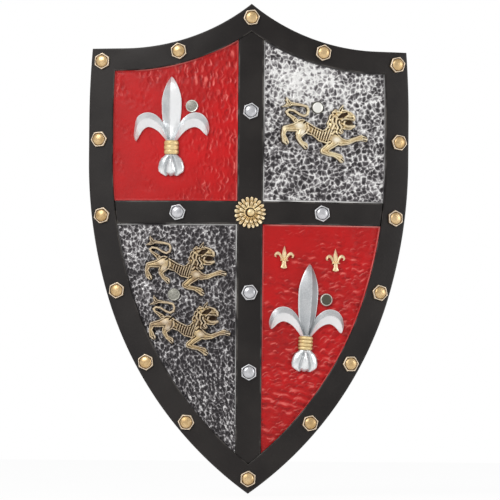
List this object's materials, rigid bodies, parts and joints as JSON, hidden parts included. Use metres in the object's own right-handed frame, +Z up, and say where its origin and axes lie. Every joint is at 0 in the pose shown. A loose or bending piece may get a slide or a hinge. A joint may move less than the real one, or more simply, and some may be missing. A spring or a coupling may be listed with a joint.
{
  "type": "heater shield",
  "caption": "Quartered heater shield with hammered panels, studded border and cross, gilt lions, lilies and rosette, and two leather straps behind.",
  "frame": {"origin": "middle of the space for the hand behind the board, on the line of the hand grip", "axes": "+Z up towards the peak, -Y out of the painted front, +X to the viewer's right when facing the front"},
  "size_m": [0.4002, 0.1048, 0.6087],
  "materials": {
    "board": "bent plywood stained near-black on the back and edge, satin",
    "black_paint": "satin near-black paint with rubbed edges",
    "red_enamel": "glossy red enamel over hammered sheet",
    "antique_silver": "hammered bright metal with black patina in the dimples",
    "antique_gold": "pale antique gold, darker in the recesses",
    "bright_silver": "bright satin silver casting",
    "nickel": "dull nickel",
    "harness_leather": "dark brown harness leather"
  },
  "bodies": {
    "root": {"shield_board": "board", "border_frame": "black_paint", "vertical_bar": "black_paint", "left_crossbar": "black_paint", "right_crossbar": "black_paint", "panel_upper_left": "red_enamel", "panel_lower_right": "red_enamel", "panel_upper_right": "antique_silver", "panel_lower_left": "antique_silver", "rosette": "antique_gold", "border_studs": "antique_gold", "cross_studs": "bright_silver", "fleur_upper_left": "bright_silver", "fleur_lower_right": "bright_silver", "lily_collars": "antique_gold", "small_fleur_left": "antique_gold", "small_fleur_right": "antique_gold", "lion_upper_right": "antique_gold", "lion_lower_left_top": "antique_gold", "lion_lower_left_bottom": "antique_gold", "strap_rivets": "nickel", "rivet_washers": "nickel", "hand_grip": "harness_leather", "forearm_strap": "harness_leather"}
  },
  "joints": []
}
